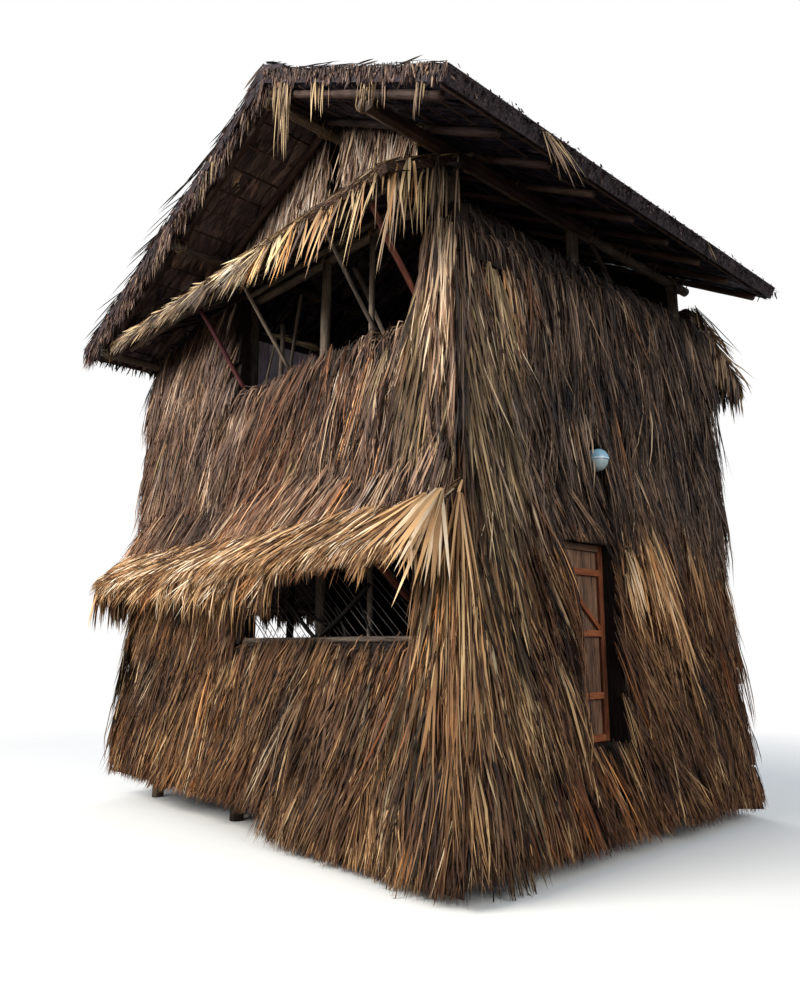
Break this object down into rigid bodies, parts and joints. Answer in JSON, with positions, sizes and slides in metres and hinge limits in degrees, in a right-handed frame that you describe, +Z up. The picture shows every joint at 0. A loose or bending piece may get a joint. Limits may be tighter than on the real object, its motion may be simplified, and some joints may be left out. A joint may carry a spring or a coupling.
{
  "type": "two-storey thatched stilt house",
  "caption": "Tall palm-thatched hut on timber poles: gable roof, propped thatch awnings over open windows, lattice window and a hinged plank door.",
  "frame": {"origin": "centre of the bounding box's base, on the level ground under the posts", "axes": "+Z up; the front gable wall with the two big awnings faces -Y; the door is in the wall that faces +X; the ridge runs along Y"},
  "size_m": [7.2, 6.06, 7.2661],
  "materials": {
    "weathered_pole": "bare grey weathered pole",
    "dark_pole": "dark stained pole",
    "red_timber": "orange-brown sawn timber",
    "board": "grey-tan board",
    "roof_thatch": "old dark palm-leaf thatch",
    "awning_thatch": "bright dry palm-leaf thatch",
    "wall_thatch": "dry brown palm-leaf thatch",
    "iron": "dull iron",
    "lamp": "pale blue-grey round lamp"
  },
  "bodies": {
    "house": {"corner_posts": "weathered_pole", "gable_posts": "dark_pole", "side_posts": "weathered_pole", "floor_frames": "weathered_pole", "ground_floor": "board", "upper_floor": "board", "wall_girts": "weathered_pole", "gable_lintels": "dark_pole", "roof_plates": "weathered_pole", "ridge_pole": "weathered_pole", "eave_beam": "red_timber", "knee_brace": "dark_pole", "rafters": "weathered_pole", "battens": "weathered_pole", "right_roof_thatch": "roof_thatch", "left_roof_thatch": "roof_thatch", "ridge_cap": "roof_thatch", "front_skirt": "wall_thatch", "front_lower_sides": "wall_thatch", "front_parapet": "wall_thatch", "front_upper_sides": "wall_thatch", "front_gable": "wall_thatch", "right_wall_skirt": "wall_thatch", "right_wall_near": "wall_thatch", "right_wall_far": "wall_thatch", "right_wall_over_door": "wall_thatch", "left_wall_skirt": "wall_thatch", "left_wall_lower_sides": "wall_thatch", "left_wall_upper": "wall_thatch", "back_wall_lower": "wall_thatch", "back_wall_upper_sides": "wall_thatch", "back_gable": "wall_thatch", "awning_frames": "weathered_pole", "awning_props": "red_timber", "upper_awning_thatch": "awning_thatch", "lower_awning_thatch": "awning_thatch", "left_awning_thatch": "awning_thatch", "back_awning_thatch": "awning_thatch", "window_lattice": "weathered_pole", "inner_panel": "board", "wall_lamp": "lamp", "door_lintel": "weathered_pole", "door_pins": "iron"},
    "door": {"door_straps": "iron", "door_boards": "board", "door_frame": "red_timber"}
  },
  "joints": [
    {"name": "door_swing", "type": "hinge", "parent": "house", "child": "door", "pos_m": [2.6504, -0.093, 1.85], "axis": [0, 0, -1], "range_deg": [0, 95]}
  ]
}
